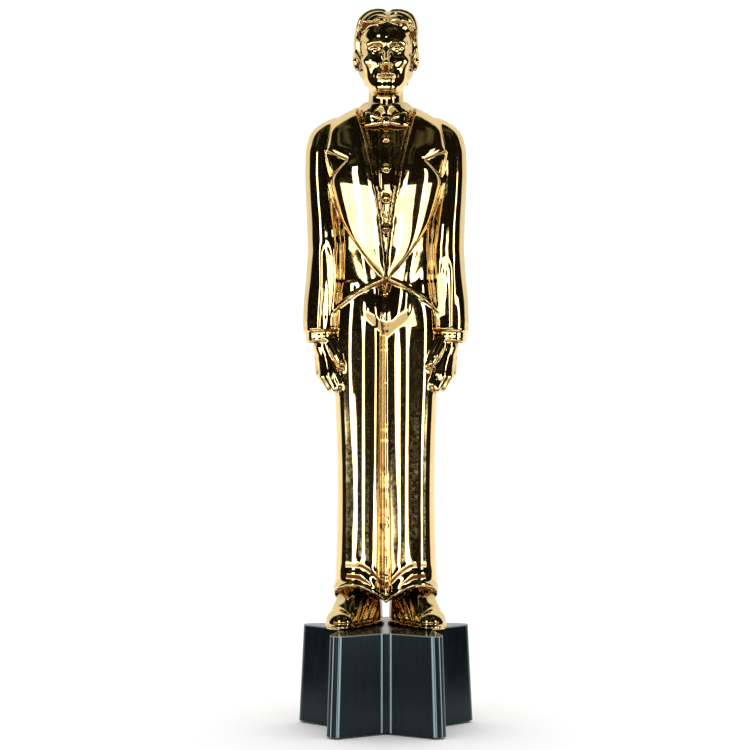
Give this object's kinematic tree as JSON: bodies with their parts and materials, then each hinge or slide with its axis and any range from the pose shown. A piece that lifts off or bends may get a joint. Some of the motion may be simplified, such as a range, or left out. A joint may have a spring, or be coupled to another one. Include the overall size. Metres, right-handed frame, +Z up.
{
  "type": "figure trophy",
  "caption": "Award statuette: a standing figure in evening tailcoat and bow tie on a black rounded star base.",
  "frame": {"origin": "centre of the footprint's bounding box, on the surface that the trophy stands on", "axes": "+Z up along the standing figure, -Y the way that the figure faces, +X to the figure's own left"},
  "size_m": [0.0558, 0.0534, 0.2285],
  "materials": {
    "gold_plastic": "vacuum-metallised mirror gold",
    "black_plastic": "gloss black",
    "fixing_steel": "zinc plated",
    "weight_iron": "raw cast",
    "insert_brass": "turned",
    "pad_rubber": "matte"
  },
  "bodies": {
    "root": {"figure_front": "gold_plastic", "figure_back": "gold_plastic", "foot_insert_left": "insert_brass", "foot_insert_right": "insert_brass", "figure_screw_left": "fixing_steel", "figure_screw_right": "fixing_steel", "figure_washer_left": "fixing_steel", "figure_washer_right": "fixing_steel", "base_shell": "black_plastic", "base_cover": "black_plastic", "ballast": "weight_iron", "cover_screw_1": "fixing_steel", "cover_screw_2": "fixing_steel", "cover_screw_3": "fixing_steel", "cover_screw_4": "fixing_steel", "cover_screw_5": "fixing_steel", "foot_pad_1": "pad_rubber", "foot_pad_2": "pad_rubber", "foot_pad_3": "pad_rubber", "foot_pad_4": "pad_rubber", "foot_pad_5": "pad_rubber"}
  },
  "joints": []
}
